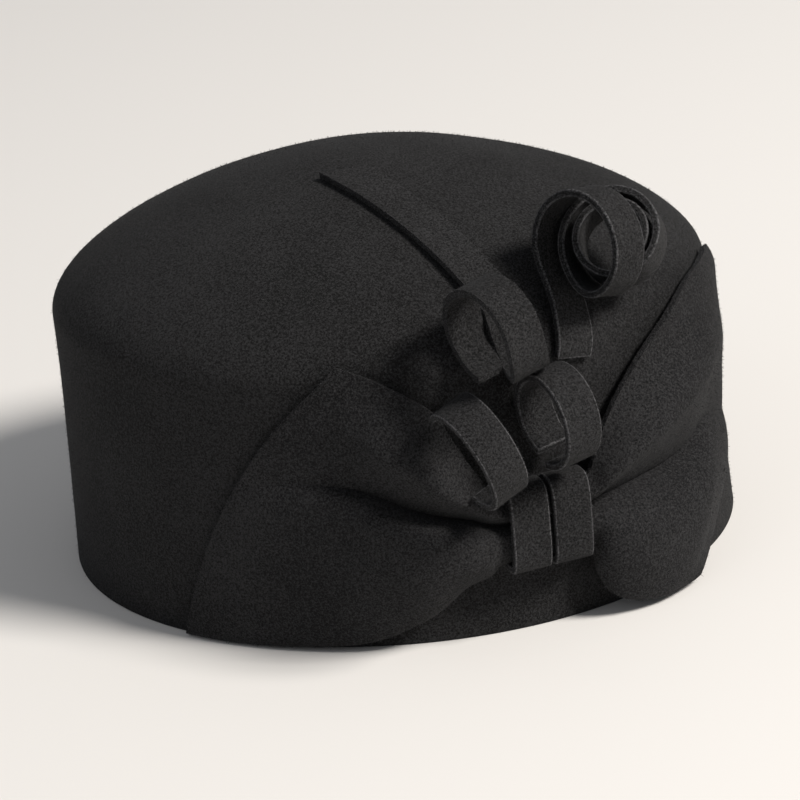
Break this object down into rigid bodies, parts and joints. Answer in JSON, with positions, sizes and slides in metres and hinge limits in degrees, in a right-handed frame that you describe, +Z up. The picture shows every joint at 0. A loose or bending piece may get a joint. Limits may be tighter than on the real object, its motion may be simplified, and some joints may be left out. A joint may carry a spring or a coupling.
{
  "type": "felt pillbox hat",
  "caption": "Black felt pillbox hat with a tall oval crown, a low dome, a pinched felt bow held by narrow bands, and curled felt strips above it.",
  "frame": {"origin": "middle of the whole hat's box in plan, on the surface that the rim stands on", "axes": "+X along the length of the head oval, towards the wearer's front; -Y towards the side with the bow; +Z up"},
  "size_m": [0.201, 0.1936, 0.1243],
  "materials": {
    "crown_felt": "blocked wool felt, matt, short nap",
    "bow_felt": "wool felt sheet, matt, short nap",
    "band_felt": "cut wool felt strip, matt",
    "curl_felt": "cut wool felt strip, matt"
  },
  "bodies": {
    "root": {"crown": "crown_felt", "bow": "bow_felt", "knot_band_left": "band_felt", "knot_band_right": "band_felt", "curl_lower_left": "curl_felt", "curl_lower_right": "curl_felt", "curl_upper_left": "curl_felt", "curl_upper_right": "curl_felt"}
  },
  "joints": []
}
